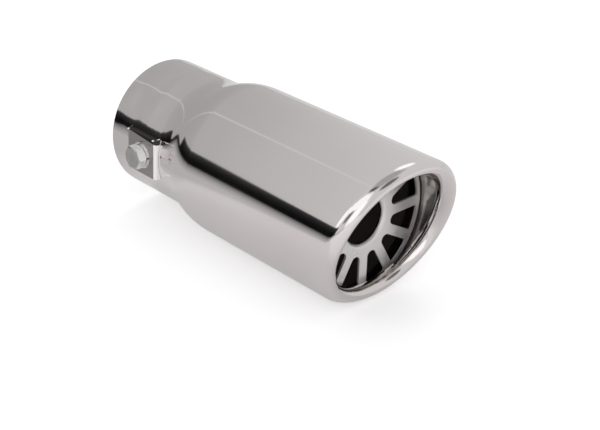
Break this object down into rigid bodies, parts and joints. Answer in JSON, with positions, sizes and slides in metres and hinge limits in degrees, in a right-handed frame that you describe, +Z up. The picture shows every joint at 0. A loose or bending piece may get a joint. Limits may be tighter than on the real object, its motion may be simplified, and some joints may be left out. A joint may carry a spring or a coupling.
{
  "type": "exhaust tip",
  "caption": "Polished steel exhaust tip: flared round body, slash-cut mouth with a rolled lip, a spoked grille inside and a screw clamp on the neck.",
  "frame": {"origin": "centre of the inlet rim, on the axis of the tube", "axes": "+X runs along the tube from the inlet rim to the mouth, +Z is up with the long side of the mouth near the top, -Y is the side with the clamp screw"},
  "size_m": [0.1651, 0.0757, 0.0724],
  "materials": {
    "polished_steel": "mirror-polished stainless steel sheet",
    "grille_steel": "bright satin stainless steel sheet",
    "fastener_steel": "bright plain steel"
  },
  "bodies": {
    "root": {"tip_shell": "polished_steel", "mouth_grille": "grille_steel", "clamp_screw": "fastener_steel", "spring_washer": "fastener_steel", "flat_washer": "fastener_steel", "clamp_plate": "fastener_steel"}
  },
  "joints": []
}
